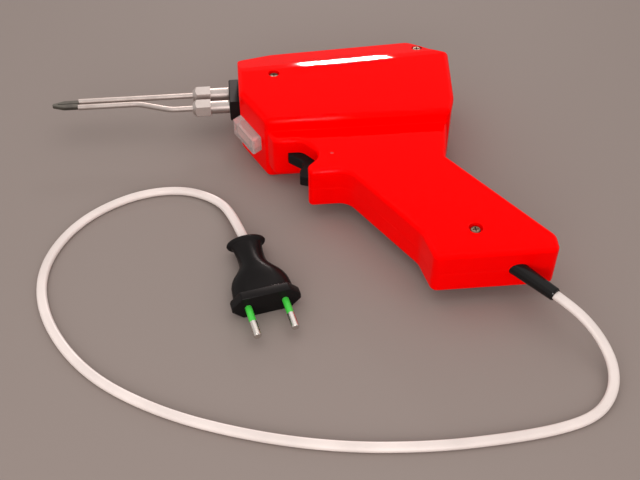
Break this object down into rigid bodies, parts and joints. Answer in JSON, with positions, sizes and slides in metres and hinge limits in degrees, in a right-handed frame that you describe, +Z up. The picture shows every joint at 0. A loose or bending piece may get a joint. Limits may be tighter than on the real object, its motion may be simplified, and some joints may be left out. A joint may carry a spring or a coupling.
{
  "type": "transformer soldering gun",
  "caption": "Pistol-shaped soldering gun with a two-shell housing, heavy posts and wire tip, lamp window, sliding trigger and a mains lead with plug.",
  "frame": {"origin": "the middle of the footprint of the gun itself, on the floor it lies on (the lead and plug are left out)", "axes": "+X runs from the tip to the rear of the body, +Y runs from the butt of the grip to the top of the body, +Z is up from the floor and square to the gun's middle plane"},
  "size_m": [0.2771, 0.2619, 0.041],
  "materials": {
    "shell_red": "glossy injection-moulded shell with a fine grain",
    "plate_black": "satin insulating board",
    "lens_clear": "clear moulded window",
    "bulb_glass": "small clear lamp",
    "holder_plastic": "plain moulded socket",
    "core_steel": "stacked steel sheets, oiled",
    "bobbin_plastic": "natural nylon",
    "winding_copper": "enamelled copper wire in layers",
    "post_metal": "nickel-plated copper bar",
    "nut_metal": "plated cap nut",
    "wire_metal": "tinned copper wire",
    "bit_metal": "dull, heat-darkened tinned copper",
    "trigger_black": "black moulding",
    "pin_steel": "turned steel",
    "spring_steel": "spring wire",
    "switch_black": "moulded switch case",
    "plunger_white": "moulded plunger",
    "wire_brown": "insulated lead",
    "wire_blue": "insulated lead",
    "screw_zinc": "yellow zinc-plated screw",
    "clamp_plastic": "moulded clamp bar",
    "cord_white": "soft white flat twin flex",
    "boot_black": "soft shiny moulding",
    "plug_black": "black moulded plug",
    "plug_pin_steel": "plated pin",
    "sleeve_green": "green insulating sleeve"
  },
  "bodies": {
    "housing": {"housing_left": "shell_red", "housing_right": "shell_red", "front_plate": "plate_black", "lamp_lens": "lens_clear", "lamp_bulb": "bulb_glass", "lamp_holder": "holder_plastic", "lamp_wires": "wire_blue", "transformer_core": "core_steel", "bobbin": "bobbin_plastic", "primary_winding": "winding_copper", "secondary_loop": "post_metal", "nut_upper": "nut_metal", "nut_lower": "nut_metal", "tip_wire_upper": "wire_metal", "tip_wire_lower": "wire_metal", "tip_bit": "bit_metal", "guide_pin": "pin_steel", "trigger_spring": "spring_steel", "switch_body": "switch_black", "switch_wire": "wire_brown", "mains_wires": "wire_brown", "housing_screws": "screw_zinc", "cord_clamp": "clamp_plastic", "clamp_screws": "screw_zinc", "lead_inside": "cord_white", "strain_relief": "boot_black", "mains_cord": "cord_white", "plug_body": "plug_black", "plug_pins": "plug_pin_steel", "pin_sleeves": "sleeve_green"},
    "trigger": {"trigger": "trigger_black"},
    "plunger": {"switch_plunger": "plunger_white"}
  },
  "joints": [
    {"name": "trigger_slide", "type": "slide", "parent": "housing", "child": "trigger", "axis": [1, 0, 0], "range_m": [0, 0.004], "stiffness_N_per_m": 400, "springref_m": -0.003, "deforming": ["trigger_spring"]},
    {"name": "plunger_slide", "type": "slide", "parent": "housing", "child": "plunger", "axis": [1, 0, 0], "range_m": [0, 0.004]}
  ],
  "couplings": [
    {"joint": "plunger_slide", "follows": "trigger_slide", "ratio": 1}
  ]
}
